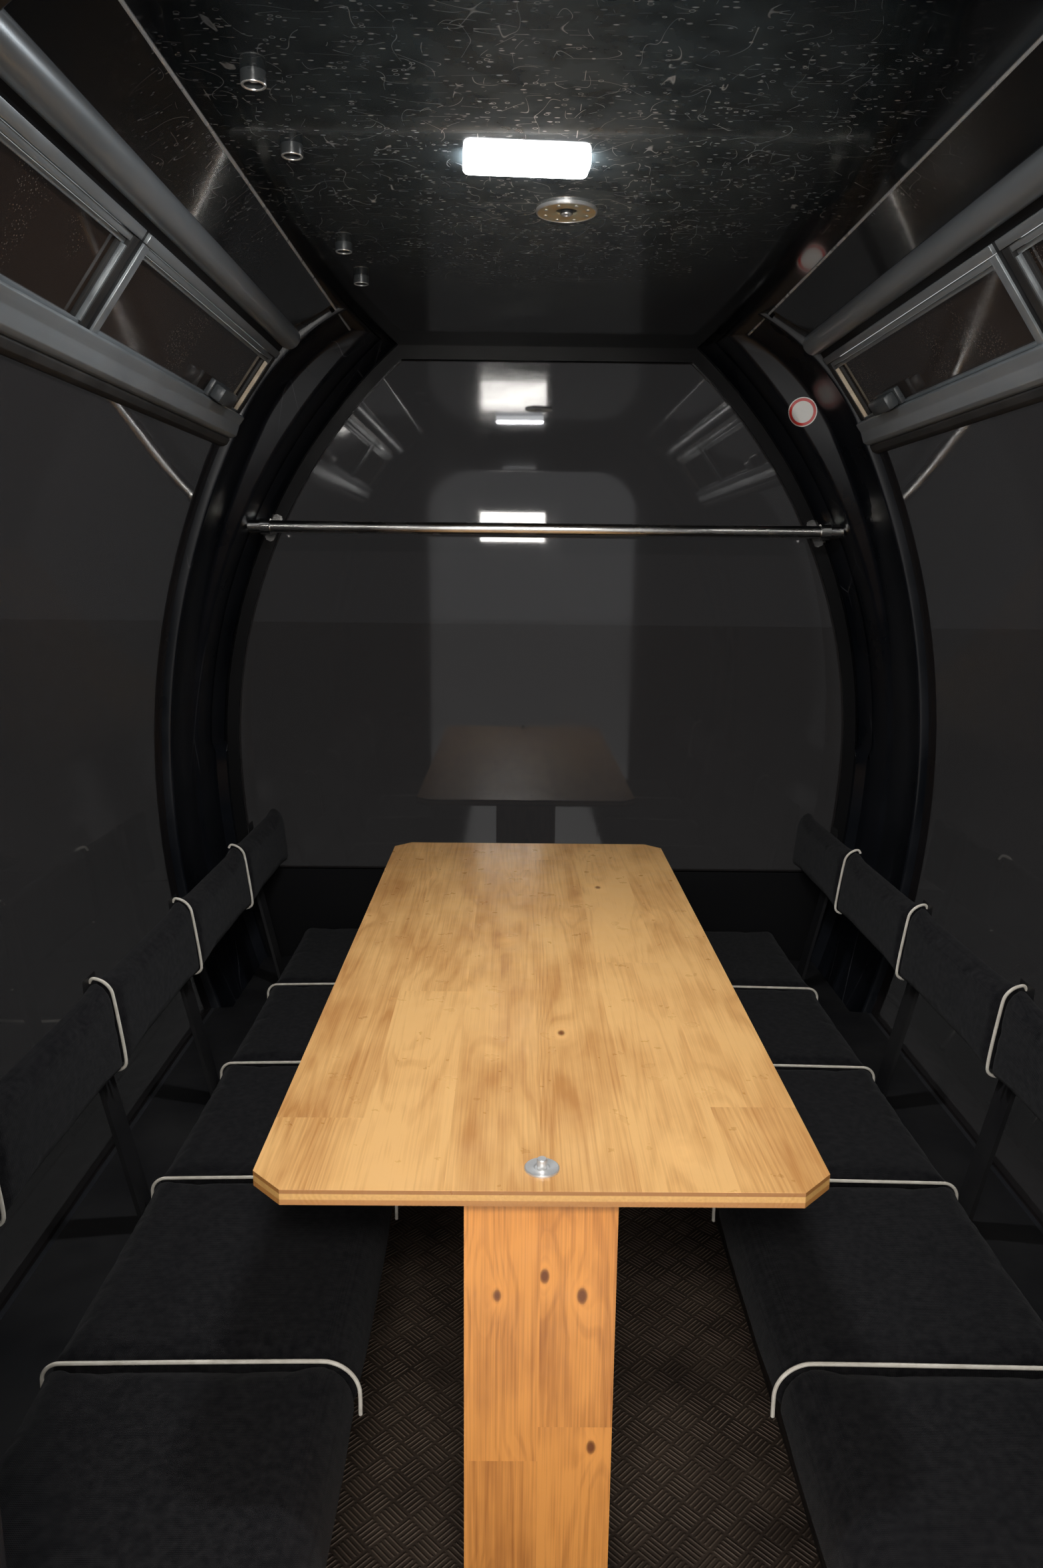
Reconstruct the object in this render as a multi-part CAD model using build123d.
"""Cable car cabin, seen in the photograph through its open doorway.

Millimetres. X is the direction of travel, -Y is the door side, +Z is up. The cabin is drawn with its
floor at z = 0 and its centre at x = y = 0, and is written out with the hanger pin's centre as origin.
"""
import os
from math import asin, atan2, cos, degrees, radians, sin, sqrt

from build123d import *

# The cross-section that runs through the whole cabin, measured inside
WAIST_HALF = 945        # half width where the cabin is widest
CEILING_Z = 2050        # height of the ceiling above the floor
WAIST_DROP = 1100       # from the ceiling to the widest place
FLOOR_IN = 227.2        # from the waist in to the wall at the floor
UPPER_R = 1850          # radius of the wall above the waist
VENT_FOOT_DROP = 238    # from the ceiling to where the curved wall ends and the vents lean in
VENT_HEAD_DROP, VENT_HEAD_IN = 64, 338      # upper edge of the vents, from the ceiling and the waist
CEILING_IN = 107        # from there to the flat ceiling's seam
WALL = 30               # thickness of walls, ceiling and hoops
DEPTH_HALF = 1130       # inner face of the far wall and of the door wall
HOOP_WIDTH = 400        # of the hoops' bands along the cabin
HOOP_EDGE = DEPTH_HALF - HOOP_WIDTH     # the side windows lie between plus and minus this y
SEAT_GAP = 0.3          # clearance between pieces that seat on each other
WAIST_Z = CEILING_Z - WAIST_DROP
LOWER_R = (FLOOR_IN ** 2 + WAIST_Z ** 2) / (2 * FLOOR_IN)      # of the wall below the waist
VENT_FOOT_Z = CEILING_Z - VENT_FOOT_DROP
VENT_HEAD_X, VENT_HEAD_Z = WAIST_HALF - VENT_HEAD_IN, CEILING_Z - VENT_HEAD_DROP
CEILING_HALF = VENT_HEAD_X - CEILING_IN

# Floor and underframe
FLOOR_T = 20            # tread plate on its core
FLOOR_BASE_T = 40       # base of the floor under the walls
FLOOR_LIP = 15          # how far the base stands out past the walls
BEAM_X, BEAM_W, BEAM_H = 420, 60, 60
CROSS_INSET, CROSS_W = 270, 80          # the outer crossmembers lie that far from the end walls
BUMPER_OUT, BUMPER_INSET, BUMPER_R = 32, 150, 18

# Side walls
SILL_Z = 335            # lower edge of the side window
TRANSOM_H = 50          # the transom lies between the side window and the vents
TRANSOM_LOW_Z = VENT_FOOT_Z - TRANSOM_H
TRANSOM_IN = 16         # how far the transom stands into the cabin
GLASS_T = 8
GLASS_IN = 10           # from the wall's inner face to the glass
VENT_SPLIT_Y = -170     # joint between the two vents of a side
VENT_BORDER, VENT_HEAD_BORDER, VENT_FOOT_BORDER = 12, 40, 4     # of a vent frame round its bays
VENT_MULLION = 20
SASH_OUT, SASH_T = 2, 18                # a sash starts that far out from the wall's inner face
SASH_BORDER, SASH_BEAD, SASH_STEP = 22, 14, 6
SASH_FOOT_BORDER = 6
VENT_GLASS_T = 5
RAIL_R = 26
LATCH_INSET, LATCH_LENGTH, LATCH_LOW, LATCH_H, LATCH_T = 220, 120, 17, 24, 20

# Corner hoops. Their inside runs from the side window's lip, parallel to the wall, to ridges and a
# cove that are parallel to the end wall's arch. Each row is one section: its distance from the side
# window, the line that it is parallel to, and how far it stands in from that line.
LIP_W, LIP_IN = 30, 10
BAND_IN, BAND_RISE = 4, 2
RIDGE_FROM_END, RIDGE_STEP, RIDGE_OUT = 158, 18, 54
COVE_FROM_END, COVE_OUT = 54, 28
HOOP_SECTIONS = (
    ("from_window", "line", "stands_in"),
    (0, "wall", BAND_IN + LIP_IN),
    (LIP_W, "wall", BAND_IN),
    (HOOP_WIDTH - RIDGE_FROM_END - RIDGE_STEP, "wall", BAND_IN + BAND_RISE),
    (HOOP_WIDTH - RIDGE_FROM_END, "arch", -RIDGE_OUT),
    (HOOP_WIDTH - COVE_FROM_END, "arch", -COVE_OUT),
    (HOOP_WIDTH, "arch", 0),
)
HOOP_OUTER_R = 50       # the cabin's outer corners turn by two flats inside this radius
COS45_DROP = 1 - sqrt(0.5)
HOOP_DEPTH = 160        # more than the hoops stand in anywhere
OUTLINE_PAST = 163      # the hoops' arcs are drawn on below the floor

# End walls inside the hoops, an arch with its own radius, and the far pane
ARCH_IN = 45            # from the wall's waist to the arch's
ARCH_R = 1457
PANE_BORDER = 32        # from the arch to the panes
FAR_PANE_LOW_Z, FAR_PANE_DROP = 600, 35     # its foot above the floor, its head below the ceiling
PANE_T = 8

# Doorway, door leaves and what they run on
DOORWAY_HALF = CEILING_HALF             # the header is as wide as the flat ceiling
DOORWAY_DROP, DOORWAY_R = 120, 200      # from the ceiling to the doorway's top, and its upper corners
DOORWAY_TOP_Z = CEILING_Z - DOORWAY_DROP
DOOR_LAP = 12.5         # how far a leaf covers the wall round the doorway
DOOR_T = 30
DOOR_OFF = 15           # from the door wall to a leaf
DOOR_LOW_Z = 8
DOOR_MEET = 5           # between the two leaves when they are closed
DOOR_BORDER = 62
DOOR_PANE_LOW_Z = 760
DOOR_PANE_R = 90
DOOR_SWAGE_DEPTH = 6
TRACK_PAST, TRACK_RISE = 30, 24         # past the open doors and above the doorway
TRACK_HALF = 2 * DOORWAY_HALF + TRACK_PAST
TRACK_LOW_Z = DOORWAY_TOP_Z + TRACK_RISE
TRACK_H, TRACK_T = 70, 5
SHELF_OUT = 28
GUSSET_DROP, GUSSET_ROOT = 200, 90
ROLLER_R, ROLLER_W, ROLLER_INSET = 20, 14, 110
HANGER_T = 8
GUIDE_W, GUIDE_DEPTH, GUIDE_GAP = 14, 26, 6
GUIDE_FIN_T, GUIDE_FIN_LENGTH = 6, 120
THRESHOLD_DEPTH, THRESHOLD_H, THRESHOLD_LIP = 90, 60, 15
SIDE_PANE_BORDER = 24

# Roof and suspension
ROOF_PAST, ROOF_RISE, ROOF_END_R = 62, 78, 36   # the roof runs past the ceiling's seams
ROOF_HALF = CEILING_HALF + ROOF_PAST
BAR_X, BAR_HALF, BAR_W, BAR_H, BAR_T = 400, 520, 60, 40, 6
BAR_LIFT = 40           # from the roof's crown at the bar to the bar's underside
ISOLATOR_R, ISOLATOR_Y, ISOLATOR_FOOT = 32, 455, 15
HANGER_BEAM_LENGTH, HANGER_BEAM_W, HANGER_BEAM_H, HANGER_BEAM_T = 900, 110, 80, 10
HEAD_R, HEAD_BASE_W, HEAD_BASE_T, CHEEK_T = 60, 320, 16, 64
PIN_R, PIN_ABOVE_BEAM = 22.5, 100

# Benches
BENCH_BEHIND, BENCH_DEPTH, BENCH_FOOT_IN = 17.8, 408, 103   # the front leans in towards its foot
BENCH_REAR_X = WAIST_HALF - FLOOR_IN - BENCH_BEHIND
BENCH_FRONT_X = BENCH_REAR_X - BENCH_DEPTH
BENCH_FOOT_X = BENCH_FRONT_X + BENCH_FOOT_IN
BENCH_FRONT_Z, BENCH_REAR_Z, BENCH_END_INSET = 386, 346, 20
SEATS, SEAT_JOINT, BENCH_CLEAR = 5, 6, 40    # clear of the end walls
BENCH_HALF = DEPTH_HALF - BENCH_CLEAR
SEAT_PITCH = 2 * BENCH_HALF / SEATS
CUSHION_T, CUSHION_NOSE, CUSHION_LIP, NOSE_BEVEL = 58, 22, 30, 32
BACK_BEHIND = 22
BACK_X = BENCH_REAR_X + BACK_BEHIND
BACK_T, BACK_CHAMFER, BACK_LOW_Z, BACK_HIGH_Z, BACK_LEAN = 40, 10, 630, 800, 16
BRACKET_W, BRACKET_T, BRACKET_TAPER = 50, 8, 30
REAR_SILL_T, REAR_SILL_DROP, REAR_SILL_CLEAR = 12, 5, 1

# Table
TABLE_X, TABLE_WIDTH, TABLE_TOP_Z, TABLE_T = -40, 700, 750, 20
TABLE_NEAR_Y, TABLE_LENGTH, TABLE_CHAMFER = -750, 1620, 40
LEG_WIDTH, LEG_T, LEG_INSET = 190, 34, 45
SOCKET_R, SOCKET_T, SOCKET_INSET = 22, 4, 48

# Handrail, lamp and fixings
HANDRAIL_OFF = 100      # from the far wall to the tube's centre
HANDRAIL_PAST_ARCH = 30
HANDRAIL_Z, HANDRAIL_R, HANDRAIL_WALL = 1572, 16, 2
CLAMP_W, CLAMP_T, CLAMP_PLATE_H, CLAMP_PLATE_T = 26, 5, 76, 6
LAMP_X, LAMP_Y, LAMP_W, LAMP_D, LAMP_H = -40, -190, 190, 110, 14
SEAM_Y, SEAM_GAP = -280, 1
DISC_Y, DISC_R, DISC_T = 30, 50, 5

OUTER_Y = DEPTH_HALF + WALL


def wall_x(z, grow=0):
    """Half width of the cabin at a height, for a section grown by that much."""
    radius = UPPER_R if z > WAIST_Z else LOWER_R
    return WAIST_HALF - radius + sqrt((radius + grow) ** 2 - (z - WAIST_Z) ** 2)


def prism(drawing, y_low, y_high):
    """A drawing of the cross-section (x, z) made solid from y_low to y_high."""
    return extrude(Plane.XZ.offset(-y_high) * drawing, amount=y_high - y_low)


def block(x_low, x_high, y_low, y_high, z_low, z_high):
    """A plain block by its limits."""
    size = (x_high - x_low, y_high - y_low, z_high - z_low)
    return Pos((x_low + x_high) / 2, (y_low + y_high) / 2, (z_low + z_high) / 2) * Box(*size)


def pair(solid):
    """The piece and its mirror image on the cabin's other side."""
    return solid + mirror(solid, Plane.YZ)


def arc_point(arc, stands_in, angle):
    """Point on one arc of an outline, moved in towards the cabin, at an angle in degrees."""
    centre_x, centre_z, radius = arc
    reach = radius - stands_in
    return centre_x + reach * cos(radians(angle)), centre_z + reach * sin(radians(angle))


def shoulder_arc():
    """Arc of the hoops from the head of the wall, in line with it, to the ceiling's edge."""
    tilt = degrees(asin((VENT_FOOT_Z - WAIST_Z) / UPPER_R))
    rise, run = CEILING_Z - VENT_FOOT_Z, wall_x(VENT_FOOT_Z) - CEILING_HALF
    half_turn = degrees(atan2(rise, -run)) - tilt - 90
    radius = sqrt(rise ** 2 + run ** 2) / (2 * sin(radians(half_turn)))
    centre = wall_x(VENT_FOOT_Z) - radius * cos(radians(tilt)), VENT_FOOT_Z - radius * sin(radians(tilt))
    return *centre, radius


# Outlines of the right-hand side as three arcs each: below the waist, above it, and at the shoulder
OUTLINES = {
    "wall": ((WAIST_HALF - LOWER_R, WAIST_Z, LOWER_R), (WAIST_HALF - UPPER_R, WAIST_Z, UPPER_R),
             shoulder_arc()),
    "arch": ((WAIST_HALF - LOWER_R, WAIST_Z, LOWER_R - ARCH_IN),
             *2 * ((WAIST_HALF - ARCH_IN - ARCH_R, WAIST_Z, ARCH_R),)),
}
OUTLINE_LOW = degrees(-asin((WAIST_Z + OUTLINE_PAST) / LOWER_R))
OUTLINE_ANGLES = {      # where each outline's arcs start and end
    "wall": (OUTLINE_LOW, 0, degrees(asin((VENT_FOOT_Z - WAIST_Z) / UPPER_R)), 75),
    "arch": (OUTLINE_LOW, 0, degrees(asin((VENT_FOOT_Z - WAIST_Z) / ARCH_R)), 54),
}


def half_outline(line, stands_in):
    """Face of the right half of the cabin inside one outline, from below the floor to above the roof."""
    angles = OUTLINE_ANGLES[line]
    arcs = []
    for arc, start, end in zip(OUTLINES[line], angles, angles[1:]):
        arcs.append(ThreePointArc(*[arc_point(arc, stands_in, a) for a in (start, (start + end) / 2, end)]))
    low, high = arcs[0] @ 0, arcs[-1] @ 1
    edges = [Line((0, low.Y), low), *arcs, Line(high, (0, high.Y)), Line((0, high.Y), (0, low.Y))]
    return make_face(Curve() + edges)


def rect(x_low, x_high, z_low, z_high):
    """Rectangle of the cross-section by its limits."""
    centre = Pos((x_low + x_high) / 2, (z_low + z_high) / 2)
    return centre * Rectangle(x_high - x_low, z_high - z_low)


def inner_section():
    """Face of the cabin's clear cross-section from below the floor to the ceiling."""
    low, high = OUTLINE_ANGLES["wall"][0], OUTLINE_ANGLES["wall"][2]
    lower, upper = OUTLINES["wall"][:2]
    wall = [
        ThreePointArc(arc_point(lower, 0, low), arc_point(lower, 0, low / 2), arc_point(lower, 0, 0)),
        ThreePointArc(arc_point(upper, 0, 0), arc_point(upper, 0, high / 2), arc_point(upper, 0, high)),
    ]
    foot, head = wall[0] @ 0, wall[1] @ 1
    right = Curve() + [
        Line((0, foot.Y), foot), *wall, Line(head, (VENT_HEAD_X, VENT_HEAD_Z)),
        Line((VENT_HEAD_X, VENT_HEAD_Z), (CEILING_HALF, CEILING_Z)),
        Line((CEILING_HALF, CEILING_Z), (0, CEILING_Z)),
    ]
    return make_face(right + mirror(right, Plane.YZ))


TALL_SECTION = inner_section()
ABOVE_BASE = rect(-2 * WAIST_HALF, 2 * WAIST_HALF, -FLOOR_T, 2 * CEILING_Z)


def grown(amount):
    """The cabin's section down to the floor's base, larger or smaller all round by the amount."""
    return offset(TALL_SECTION, amount=amount, kind=Kind.INTERSECTION) & ABOVE_BASE


def wall_strip(inner, outer, z_low, z_high):
    """Right-hand strip of the wall between two growths of the section and two heights."""
    return (grown(outer) - grown(inner)) & rect(VENT_HEAD_X, 2 * WAIST_HALF, z_low, z_high)


def floor_parts():
    base_half = wall_x(-FLOOR_T) + WALL + FLOOR_LIP
    base_low = -FLOOR_T - FLOOR_BASE_T
    tread = grown(-SEAT_GAP) & rect(-WAIST_HALF, WAIST_HALF, -FLOOR_T, 0)
    plate = prism(tread, -DEPTH_HALF + SEAT_GAP, DEPTH_HALF - SEAT_GAP)
    base = block(-base_half, base_half, -OUTER_Y, OUTER_Y, base_low, -FLOOR_T)
    beams = block(BEAM_X - BEAM_W / 2, BEAM_X + BEAM_W / 2, -DEPTH_HALF, DEPTH_HALF,
                  base_low - BEAM_H, base_low)
    cross_reach = BEAM_X - BEAM_W / 2
    crosses = Part()
    for y in (CROSS_INSET - DEPTH_HALF, 0, DEPTH_HALF - CROSS_INSET):
        crosses += block(-cross_reach, cross_reach, y - CROSS_W / 2, y + CROSS_W / 2,
                         base_low - BEAM_H, base_low)
    bumper_half = DEPTH_HALF - BUMPER_INSET
    bumper = Pos(base_half, 0, (base_low - FLOOR_T) / 2) * Box(2 * BUMPER_OUT, 2 * bumper_half, FLOOR_BASE_T)
    bumper = fillet(bumper.edges().group_by(Axis.X)[-1].filter_by(Axis.Y), BUMPER_R)
    return {
        "floor_pan": plate + base,
        "underframe_beams": pair(beams),
        "underframe_crossmembers": crosses,
        "bumpers": pair(bumper - base),
    }


def corner_hoop():
    """The far right corner hoop: turned outside along its arcs, lofted inside between its sections."""
    angles = OUTLINE_ANGLES["wall"]
    outside = Part()
    for (centre_x, centre_z, radius), start, end in zip(OUTLINES["wall"], angles, angles[1:]):
        outer_x, inner_x = centre_x + radius + WALL, centre_x + radius - HOOP_DEPTH
        profile = make_face(Polyline(
            (outer_x, HOOP_EDGE), (outer_x, OUTER_Y - HOOP_OUTER_R),
            (outer_x - HOOP_OUTER_R * COS45_DROP, OUTER_Y - HOOP_OUTER_R * COS45_DROP),
            (outer_x - HOOP_OUTER_R, OUTER_Y), (inner_x, OUTER_Y), (inner_x, HOOP_EDGE), close=True))
        axis = Axis((centre_x, 0, centre_z), (0, -1, 0))
        outside += revolve((Pos(0, 0, centre_z) * profile).rotate(axis, start), axis,
                           revolution_arc=end - start)
    inside = prism(half_outline("arch", 0), DEPTH_HALF, 2 * OUTER_Y)
    rows = HOOP_SECTIONS[1:]
    for near, far in zip(rows, rows[1:]):
        faces = [Plane.XZ.offset(-HOOP_EDGE - distance) * half_outline(line, stands_in)
                 for distance, line, stands_in in (near, far)]
        inside += loft(faces, ruled=True)
    inside += prism(grown(0) & rect(0, WAIST_HALF, -FLOOR_T, 0), HOOP_EDGE, DEPTH_HALF)
    under_ceiling = block(CEILING_HALF / 2, CEILING_HALF, 0, 2 * OUTER_Y, CEILING_Z / 2, CEILING_Z)
    beside = block(CEILING_HALF, 2 * WAIST_HALF, 0, 2 * OUTER_Y, -FLOOR_T, CEILING_Z + WALL)
    return (outside - inside) & (beside + under_ceiling)


def side_parts():
    edge = HOOP_EDGE - SEAT_GAP
    panel = wall_strip(0, WALL, -FLOOR_T, SILL_Z)
    glass = wall_strip(GLASS_IN, GLASS_IN + GLASS_T, SILL_Z, TRANSOM_LOW_Z)
    transom = wall_strip(-TRANSOM_IN, WALL, TRANSOM_LOW_Z, VENT_FOOT_Z)
    window = prism(glass, -edge, edge)
    return {
        "side_panels": pair(prism(panel, -edge, edge)),
        "side_window_right": window,
        "side_window_left": mirror(window, Plane.YZ),
        "transoms": pair(prism(transom, -edge, edge)),
    }


def vent_plane():
    """Plane on the inner face of the right vents: x runs along the cabin, y runs up the slope."""
    foot = Vector(wall_x(VENT_FOOT_Z), 0, VENT_FOOT_Z)
    head = Vector(VENT_HEAD_X, 0, VENT_HEAD_Z)
    up = (head - foot).normalized()
    return Plane(origin=foot, x_dir=(0, -1, 0), z_dir=Vector(0, -1, 0).cross(up)), (head - foot).length


def vent_parts():
    """Two vents a side: a fixed frame, a sash in each bay, its glass and a latch handle."""
    plane, slope = vent_plane()
    outward = 1 if plane.z_dir.X > 0 else -1
    edge = HOOP_EDGE - SEAT_GAP
    bays = ((-edge, VENT_SPLIT_Y), (VENT_SPLIT_Y, edge))

    def bay_rect(bay, border, foot=None):
        """Opening of a bay, less a border at its ends and head and another at its foot."""
        low = bay[0] + (VENT_MULLION / 2 if bay[0] == VENT_SPLIT_Y else VENT_BORDER) + border
        high = bay[1] - (VENT_MULLION / 2 if bay[1] == VENT_SPLIT_Y else VENT_BORDER) - border
        bottom = VENT_FOOT_BORDER + (border if foot is None else foot)
        top = slope - VENT_HEAD_BORDER - border
        return Pos(-(low + high) / 2, (bottom + top) / 2) * Rectangle(high - low, top - bottom)

    def slab(drawing, low, high):
        return extrude((plane.offset(outward * low)) * drawing, amount=outward * (high - low))

    frame = slab(Pos(0, slope / 2) * Rectangle(2 * edge, slope), 0, WALL)
    sashes, glasses = [], []
    for bay in bays:
        frame -= slab(bay_rect(bay, 0), -WALL, 2 * WALL)
        sash = slab(bay_rect(bay, SEAT_GAP), SASH_OUT, SASH_OUT + SASH_T)
        sash -= slab(bay_rect(bay, SASH_BORDER, SASH_FOOT_BORDER), -WALL, SASH_OUT + SASH_STEP)
        sash -= slab(bay_rect(bay, SASH_BORDER + SASH_BEAD, SASH_FOOT_BORDER), -WALL, 2 * WALL)
        sashes.append(sash)
        glass_out = SASH_OUT + SASH_STEP + SASH_BEAD / 4
        glasses.append(slab(bay_rect(bay, SASH_BORDER + SASH_BEAD + SEAT_GAP, SASH_FOOT_BORDER + SEAT_GAP),
                            glass_out, glass_out + VENT_GLASS_T))
    latch = Pos(LATCH_INSET - HOOP_EDGE, LATCH_LOW + LATCH_H / 2) * Rectangle(LATCH_LENGTH, LATCH_H)
    latch = slab(chamfer(latch.vertices(), LATCH_H / 4), SASH_OUT - LATCH_T, glass_out)
    head = Pos(VENT_HEAD_X, VENT_HEAD_Z)
    rail = prism(head * Circle(RAIL_R) & grown(0), -edge, edge)
    return {
        "vent_frames": pair(frame),
        "vent_sashes": pair(sashes[0] + sashes[1]),
        "vent_glasses": pair(glasses[0] + glasses[1]),
        "vent_handles": pair(latch),
        "vent_rails": pair(rail),
    }


def ceiling_parts():
    edge = HOOP_EDGE - SEAT_GAP
    side = (grown(WALL) - grown(0)) & rect(CEILING_HALF, VENT_HEAD_X + WALL, CEILING_Z - 2 * WALL,
                                           CEILING_Z + WALL)
    far = block(-CEILING_HALF, CEILING_HALF, SEAM_Y + SEAM_GAP / 2, DEPTH_HALF, CEILING_Z, CEILING_Z + WALL)
    near = block(-CEILING_HALF, CEILING_HALF, -DEPTH_HALF, SEAM_Y - SEAM_GAP / 2, CEILING_Z,
                 CEILING_Z + WALL)
    lamp = block(LAMP_X - LAMP_W / 2, LAMP_X + LAMP_W / 2, LAMP_Y - LAMP_D / 2, LAMP_Y + LAMP_D / 2,
                 CEILING_Z - LAMP_H, CEILING_Z)
    lamp = fillet(lamp.edges().filter_by(Axis.Z), LAMP_H)
    disc = Pos(0, DISC_Y, CEILING_Z - DISC_T / 2) * Cylinder(DISC_R, DISC_T)
    side_panel = prism(side, -edge, edge) - vent_parts()["vent_frames"]
    return {
        "ceiling_sides": pair(side_panel.solids().sort_by(Axis.Z)[-1]),
        "ceiling_panels": far + near,
        "ceiling_lamp": lamp,
        "ceiling_fixings": disc,
    }


def roof_parts():
    """The crowned roof and what hangs the cabin: bars on rubber blocks, a beam and its pin head."""
    top_z = CEILING_Z + WALL
    radius = (ROOF_HALF ** 2 + ROOF_RISE ** 2) / (2 * ROOF_RISE)
    crown = Curve() + [
        Line((-ROOF_HALF, top_z), (ROOF_HALF, top_z)),
        ThreePointArc((ROOF_HALF, top_z), (0, top_z + ROOF_RISE), (-ROOF_HALF, top_z)),
    ]
    ends = rect(-OUTER_Y, OUTER_Y, top_z, top_z + ROOF_RISE)
    ends = fillet(ends.vertices().group_by(Axis.Y)[-1], ROOF_END_R)
    roof = prism(make_face(crown), -OUTER_Y, OUTER_Y)
    roof &= extrude(Plane.YZ * ends, amount=ROOF_HALF, both=True)
    bar_crown = top_z + ROOF_RISE - (radius - sqrt(radius ** 2 - BAR_X ** 2))
    bar_low = bar_crown + BAR_LIFT
    beam_low = bar_low + BAR_H
    beam_high = beam_low + HANGER_BEAM_H
    pin_z = beam_high + PIN_ABOVE_BEAM
    bar = rect(BAR_X - BAR_W / 2, BAR_X + BAR_W / 2, bar_low, beam_low)
    bar -= rect(BAR_X - BAR_W / 2 + BAR_T, BAR_X + BAR_W, bar_low + BAR_T, beam_low - BAR_T)
    isolators = Part()
    isolator_h = BAR_LIFT + ISOLATOR_FOOT
    for y in (-ISOLATOR_Y, ISOLATOR_Y):
        isolators += Pos(BAR_X, y, bar_low - isolator_h / 2) * Cylinder(ISOLATOR_R, isolator_h) - roof
    flange, web_h = HANGER_BEAM_W / 2 - HANGER_BEAM_T, HANGER_BEAM_H - 2 * HANGER_BEAM_T
    profile = Rectangle(HANGER_BEAM_W, HANGER_BEAM_H)
    for side in (-1, 1):
        profile -= Pos(side * (flange / 2 + HANGER_BEAM_T), 0) * Rectangle(flange, web_h)
    profile = Pos(0, (beam_low + beam_high) / 2) * profile
    beam = extrude(Plane.YZ * profile, amount=HANGER_BEAM_LENGTH / 2, both=True)
    cheek = Pos(0, pin_z) * Circle(HEAD_R) + rect(-HEAD_R, HEAD_R, beam_high, pin_z)
    for side in (-1, 1):
        cheek += make_face(Polyline(
            (0, beam_high), (side * (HEAD_BASE_W / 2 - HEAD_BASE_T), beam_high),
            (side * HEAD_R, pin_z), (0, pin_z), close=True))
    foot = rect(-HEAD_BASE_W / 2, HEAD_BASE_W / 2, beam_high, beam_high + HEAD_BASE_T)
    pin = Pos(0, pin_z) * Circle(PIN_R)
    head = prism(cheek - pin, -CHEEK_T / 2, CHEEK_T / 2)
    head += prism(foot, -HANGER_BEAM_W / 2, HANGER_BEAM_W / 2)
    head += prism(Pos(0, pin_z) * Circle(HEAD_R - HEAD_BASE_T) - pin, -HANGER_BEAM_W / 2, HANGER_BEAM_W / 2)
    return {
        "roof_shell": roof,
        "roof_bars": pair(prism(bar, -BAR_HALF, BAR_HALF)),
        "roof_isolators": pair(isolators),
        "hanger_beam": beam,
        "hanger_head": head,
    }, pin_z


def end_wall(cut, y_low, y_high):
    """An end wall inside the hoops' arches and under the roof, with an opening cut through it."""
    arch = half_outline("arch", SEAT_GAP) & rect(0, WAIST_HALF, -FLOOR_T, CEILING_Z + WALL / 2)
    top_half = CEILING_HALF - SEAT_GAP
    face = arch + mirror(arch, Plane.YZ)
    face += rect(-top_half, top_half, CEILING_Z + SEAT_GAP, CEILING_Z + WALL)
    return prism(face - cut, y_low, y_high)


def arch_pane(border, z_low, z_high):
    """Drawing of a pane whose sides follow the end wall's arch."""
    half = half_outline("arch", border) & rect(0, WAIST_HALF, z_low, z_high)
    return half + mirror(half, Plane.YZ)


def far_wall_parts():
    pane_top = CEILING_Z - FAR_PANE_DROP
    frame = end_wall(arch_pane(PANE_BORDER, FAR_PANE_LOW_Z, pane_top), DEPTH_HALF, OUTER_Y)
    pane_low = DEPTH_HALF + (WALL - PANE_T) / 2
    pane = arch_pane(PANE_BORDER + SEAT_GAP, FAR_PANE_LOW_Z + SEAT_GAP, pane_top - SEAT_GAP)
    rail_y = DEPTH_HALF - HANDRAIL_OFF
    centre_x, centre_z, radius = OUTLINES["arch"][1]
    arch_half = centre_x + sqrt(radius ** 2 - (HANDRAIL_Z - centre_z) ** 2)
    tube_half = arch_half + HANDRAIL_PAST_ARCH
    tube = Pos(rail_y, HANDRAIL_Z) * (Circle(HANDRAIL_R) - Circle(HANDRAIL_R - HANDRAIL_WALL))
    clamp_x = arch_half - PANE_BORDER / 2
    low_x, high_x = clamp_x - CLAMP_W / 2, clamp_x + CLAMP_W / 2
    tilt = degrees(asin((HANDRAIL_Z - centre_z) / radius))
    foot = Box(CLAMP_W, CLAMP_PLATE_T, CLAMP_PLATE_H)
    foot = chamfer(foot.edges().filter_by(Axis.Y), CLAMP_W / 4)
    foot = Pos(clamp_x, DEPTH_HALF - CLAMP_PLATE_T / 2, HANDRAIL_Z) * Rot(0, -tilt, 0) * foot
    foot += block(low_x, high_x, rail_y + HANDRAIL_R, DEPTH_HALF, HANDRAIL_Z - HANDRAIL_R / 2,
                  HANDRAIL_Z + HANDRAIL_R / 2)
    ring = Circle(HANDRAIL_R + CLAMP_T) - Circle(HANDRAIL_R)
    ring = extrude(Plane.YZ.offset(low_x) * Pos(rail_y, HANDRAIL_Z) * ring, amount=CLAMP_W)
    return {
        "far_frame": frame,
        "far_window": prism(pane, pane_low, pane_low + PANE_T),
        "handrail": extrude(Plane.YZ * tube, amount=tube_half, both=True),
        "handrail_clamps": pair(ring + foot),
    }


def doorway():
    """Drawing of the doorway: square at the foot and round at the upper corners."""
    hole = rect(-DOORWAY_HALF, DOORWAY_HALF, -2 * FLOOR_T, DOORWAY_TOP_Z)
    return fillet(hole.vertices().group_by(Axis.Y)[-1], DOORWAY_R)


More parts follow.
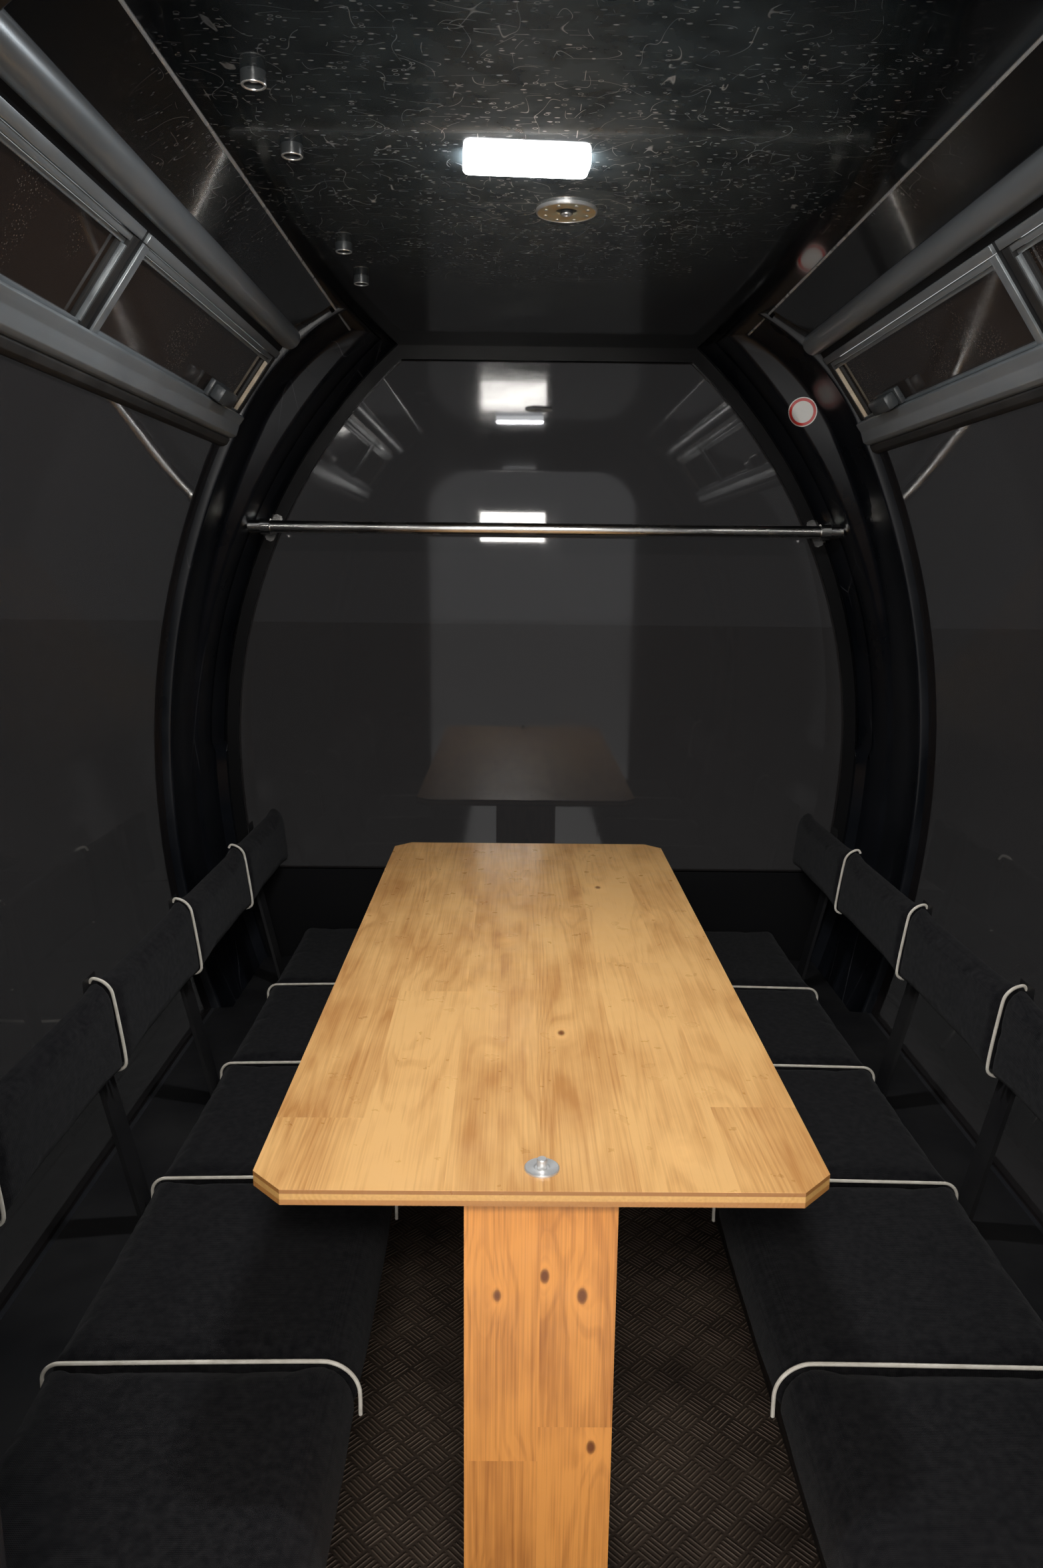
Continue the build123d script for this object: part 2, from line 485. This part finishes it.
def door_wall_parts():
    wall = end_wall(doorway(), -OUTER_Y, -DEPTH_HALF)
    header = wall & block(-DOORWAY_HALF, DOORWAY_HALF, -2 * OUTER_Y, 0, 0, 2 * CEILING_Z)
    side = wall & block(DOORWAY_HALF, 2 * WAIST_HALF, -2 * OUTER_Y, 0, -FLOOR_T, 2 * CEILING_Z)
    pane_x = DOORWAY_HALF + SIDE_PANE_BORDER
    bay = arch_pane(PANE_BORDER, DOOR_PANE_LOW_Z, TRANSOM_LOW_Z)
    bay &= rect(pane_x, WAIST_HALF, DOOR_PANE_LOW_Z, TRANSOM_LOW_Z)
    pane = arch_pane(PANE_BORDER + SEAT_GAP, DOOR_PANE_LOW_Z + SEAT_GAP, TRANSOM_LOW_Z - SEAT_GAP)
    pane &= rect(pane_x + SEAT_GAP, WAIST_HALF, DOOR_PANE_LOW_Z, TRANSOM_LOW_Z)
    side -= prism(bay, -2 * OUTER_Y, 0)
    pane_low = -DEPTH_HALF - (WALL + PANE_T) / 2
    return {
        "door_header": header,
        "door_wall_right": side,
        "door_wall_left": mirror(side, Plane.YZ),
        "door_wall_glasses": pair(prism(pane, pane_low, pane_low + PANE_T)),
    }


def door_track_parts():
    """Roller track above the doorway and guided threshold below it, both as long as the open doors."""
    wall_y = -OUTER_Y
    front_y = wall_y - DOOR_OFF - DOOR_T - 3 * TRACK_T
    high = TRACK_LOW_Z + TRACK_H
    channel = (
        block(-TRACK_HALF, TRACK_HALF, wall_y - TRACK_T, wall_y, TRACK_LOW_Z, high)
        + block(-TRACK_HALF, TRACK_HALF, front_y, wall_y, high - TRACK_T, high)
        + block(-TRACK_HALF, TRACK_HALF, front_y, front_y + TRACK_T, TRACK_LOW_Z + TRACK_T, high)
        + block(-TRACK_HALF, TRACK_HALF, wall_y - SHELF_OUT, wall_y, TRACK_LOW_Z, TRACK_LOW_Z + TRACK_T)
    )
    end = block(TRACK_HALF - TRACK_T, TRACK_HALF, front_y, wall_y, TRACK_LOW_Z, high)
    gusset_foot_z = TRACK_LOW_Z - GUSSET_DROP
    root_x = wall_x(gusset_foot_z) - HOOP_OUTER_R / 2
    gusset = make_face(Polyline(
        (root_x - GUSSET_ROOT, gusset_foot_z), (root_x, gusset_foot_z), (TRACK_HALF, TRACK_LOW_Z),
        (root_x - GUSSET_ROOT, TRACK_LOW_Z), close=True))
    channel += pair(end + prism(gusset, wall_y - TRACK_T, wall_y))
    sill = block(-TRACK_HALF, TRACK_HALF, wall_y - THRESHOLD_DEPTH, wall_y, -THRESHOLD_H, 0)
    leaf_mid = wall_y - DOOR_OFF - DOOR_T / 2
    sill -= block(-TRACK_HALF, TRACK_HALF, leaf_mid - GUIDE_W / 2, leaf_mid + GUIDE_W / 2,
                  -GUIDE_DEPTH, 0)
    lip = sill.edges().filter_by(Axis.X).group_by(Axis.Y)[0].sort_by(Axis.Z)[-1]
    return {"door_track": channel, "door_sill": chamfer(lip, THRESHOLD_LIP)}


def door_parts():
    """The right-hand leaf, stored open, with its pane, two roller hangers and a guide fin."""
    inner_x = DOORWAY_HALF
    outer_x = 2 * DOORWAY_HALF - DOOR_MEET / 2 + DOOR_LAP
    top = DOORWAY_TOP_Z + DOOR_LAP
    low_y = -OUTER_Y - DOOR_OFF - DOOR_T
    mid_y = low_y + DOOR_T / 2
    outline = rect(inner_x, outer_x, DOOR_LOW_Z, top)
    outline = fillet(outline.vertices().group_by(Axis.Y)[-1].sort_by(Axis.X)[-1], DOORWAY_R + DOOR_LAP)
    leaf = prism(outline, low_y, low_y + DOOR_T)

    def bay(border, z_low, z_high):
        hole = rect(inner_x + border, outer_x - border, z_low, z_high)
        return fillet(hole.vertices(), DOOR_PANE_R - (border - DOOR_BORDER))

    pane_top = top - DOOR_BORDER
    leaf -= prism(bay(DOOR_BORDER, DOOR_PANE_LOW_Z, pane_top), 2 * low_y, 0)
    swage = bay(DOOR_BORDER, DOOR_LOW_Z + DOOR_BORDER, DOOR_PANE_LOW_Z - DOOR_BORDER)
    leaf -= prism(swage, low_y - DOOR_SWAGE_DEPTH, low_y + DOOR_SWAGE_DEPTH)
    pane = prism(bay(DOOR_BORDER + SEAT_GAP, DOOR_PANE_LOW_Z + SEAT_GAP, pane_top - SEAT_GAP),
                 mid_y - PANE_T / 2, mid_y + PANE_T / 2)
    axle_z = TRACK_LOW_Z + TRACK_T + ROLLER_R + SEAT_GAP
    carriage = block(inner_x + ROLLER_INSET, inner_x + ROLLER_INSET + GUIDE_FIN_LENGTH,
                     mid_y - GUIDE_FIN_T / 2, mid_y + GUIDE_FIN_T / 2, GUIDE_GAP - GUIDE_DEPTH, DOOR_LOW_Z)
    for x in (inner_x + ROLLER_INSET, outer_x - ROLLER_INSET - DOORWAY_R):
        hanger = block(x - ROLLER_R, x + ROLLER_R, low_y, low_y + HANGER_T, top, axle_z + ROLLER_R / 2)
        reach = -OUTER_Y - SHELF_OUT + ROLLER_W
        roller = extrude(Plane.XZ.offset(-reach) * Pos(x, axle_z) * Circle(ROLLER_R), amount=ROLLER_W)
        axle = extrude(Plane.XZ.offset(-reach) * Pos(x, axle_z) * Circle(ROLLER_R / 3),
                       amount=reach - low_y - HANGER_T)
        carriage += hanger + roller + axle
    right = {"door_leaf": leaf, "door_glass": pane, "door_carriage": carriage}
    parts = {}
    for name, solid in right.items():
        parts[name + "_right"] = solid
        parts[name + "_left"] = mirror(solid, Plane.YZ)
    return parts


def bench_parts():
    base = make_face(Polyline((BENCH_FOOT_X, 0), (BENCH_FRONT_X, BENCH_FRONT_Z),
                              (BENCH_REAR_X, BENCH_REAR_Z), (BENCH_REAR_X, 0), close=True))
    base = prism(base, BENCH_END_INSET - BENCH_HALF, BENCH_HALF - BENCH_END_INSET)
    nose_x = BENCH_FRONT_X - CUSHION_NOSE
    pad = make_face(Polyline(
        (BENCH_FRONT_X, BENCH_FRONT_Z + SEAT_GAP), (BENCH_REAR_X, BENCH_REAR_Z + SEAT_GAP),
        (BENCH_REAR_X, BENCH_REAR_Z + CUSHION_T), (nose_x + NOSE_BEVEL, BENCH_FRONT_Z + CUSHION_T),
        (nose_x, BENCH_FRONT_Z + CUSHION_T / 2), (nose_x, BENCH_FRONT_Z - CUSHION_LIP),
        (BENCH_FRONT_X - SEAT_GAP, BENCH_FRONT_Z - CUSHION_LIP), close=True))
    pad -= make_face(Polyline(
        (BENCH_FOOT_X - SEAT_GAP, 0), (BENCH_FRONT_X - SEAT_GAP, BENCH_FRONT_Z + SEAT_GAP),
        (BENCH_REAR_X, BENCH_REAR_Z + SEAT_GAP), (BENCH_REAR_X, 0), close=True))
    seat_half = (SEAT_PITCH - SEAT_JOINT) / 2
    cushions = Part()
    for number in range(SEATS):
        centre = (number - (SEATS - 1) / 2) * SEAT_PITCH
        cushions += prism(pad, centre - seat_half, centre + seat_half)
    back = make_face(Polyline((BACK_X, BACK_LOW_Z), (BACK_X + BACK_LEAN, BACK_HIGH_Z),
                              (BACK_X + BACK_LEAN + BACK_T, BACK_HIGH_Z), (BACK_X + BACK_T, BACK_LOW_Z),
                              close=True))
    back = prism(back, -BENCH_HALF, BENCH_HALF)
    back = chamfer(back.edges().filter_by(Axis.Y), BACK_CHAMFER)
    brackets = Part()
    for y in (-2 * SEAT_PITCH, -SEAT_PITCH / 2, SEAT_PITCH / 2, 2 * SEAT_PITCH):
        bar_x = BACK_X + BACK_T + SEAT_GAP
        post = make_face(Polyline(
            (BENCH_REAR_X + SEAT_GAP, 0), (BENCH_REAR_X + SEAT_GAP, BENCH_REAR_Z),
            (bar_x, BACK_LOW_Z), (bar_x + BACK_LEAN, BACK_HIGH_Z),
            (bar_x + BACK_LEAN, BACK_HIGH_Z - BRACKET_TAPER),
            (bar_x + BRACKET_T, BACK_LOW_Z), (BENCH_REAR_X + BRACKET_T, BENCH_REAR_Z),
            (BENCH_REAR_X + BRACKET_T, 0), close=True))
        brackets += prism(post, y - BRACKET_W / 2, y + BRACKET_W / 2)
    sill_x = BENCH_REAR_X + BRACKET_T + REAR_SILL_CLEAR
    drop = (BENCH_REAR_Z - SILL_Z) + REAR_SILL_DROP
    sill = make_face(Polyline(
        (sill_x, BENCH_REAR_Z), (WAIST_HALF, BENCH_REAR_Z - drop),
        (WAIST_HALF, BENCH_REAR_Z - drop - REAR_SILL_T), (sill_x, BENCH_REAR_Z - REAR_SILL_T), close=True))
    ends = prism(sill & half_outline("arch", SEAT_GAP), -BENCH_HALF, BENCH_HALF)
    middle = prism(sill & grown(-SEAT_GAP), SEAT_GAP - HOOP_EDGE, HOOP_EDGE - SEAT_GAP)
    sill = ends + middle
    parts = {"backrest_brackets": pair(brackets), "rear_sills": pair(sill)}
    for name, solid in (("bench_base", base), ("seat_cushions", cushions), ("backrest", back)):
        parts[name + "_right"] = solid
        parts[name + "_left"] = mirror(solid, Plane.YZ)
    return parts


def table_parts():
    far_y = TABLE_NEAR_Y + TABLE_LENGTH
    top = block(TABLE_X - TABLE_WIDTH / 2, TABLE_X + TABLE_WIDTH / 2, TABLE_NEAR_Y, far_y,
                TABLE_TOP_Z - TABLE_T, TABLE_TOP_Z)
    top = chamfer(top.edges().filter_by(Axis.Z), TABLE_CHAMFER)
    legs = Part()
    for y in (TABLE_NEAR_Y + LEG_INSET, far_y - LEG_INSET - LEG_T):
        legs += block(TABLE_X - LEG_WIDTH / 2, TABLE_X + LEG_WIDTH / 2, y, y + LEG_T, 0,
                      TABLE_TOP_Z - TABLE_T)
    socket = Cylinder(SOCKET_R, SOCKET_T)
    socket = Pos(TABLE_X, TABLE_NEAR_Y + SOCKET_INSET, TABLE_TOP_Z + SOCKET_T / 2) * socket
    return {"table_top": top, "table_legs": legs, "table_socket": socket}


def hoop_parts():
    far_right = corner_hoop()
    near_right = mirror(far_right, Plane.XZ)
    return {
        "hoop_far_right": far_right,
        "hoop_far_left": mirror(far_right, Plane.YZ),
        "hoop_near_right": near_right,
        "hoop_near_left": mirror(near_right, Plane.YZ),
    }


def build():
    parts = {}
    roof, pin_z = roof_parts()
    for group in (floor_parts(), hoop_parts(), side_parts(), vent_parts(), ceiling_parts(), roof,
                  far_wall_parts(), door_wall_parts(), door_track_parts(), door_parts(),
                  bench_parts(), table_parts()):
        parts.update(group)
    return parts, pin_z


os.makedirs("parts", exist_ok=True)
PARTS, PIN_Z = build()
for node, solid in PARTS.items():
    export_step(Pos(0, 0, -PIN_Z) * solid, f"parts/{node}.step")
print("nodes", len(PARTS), "pin height", round(PIN_Z, 1))
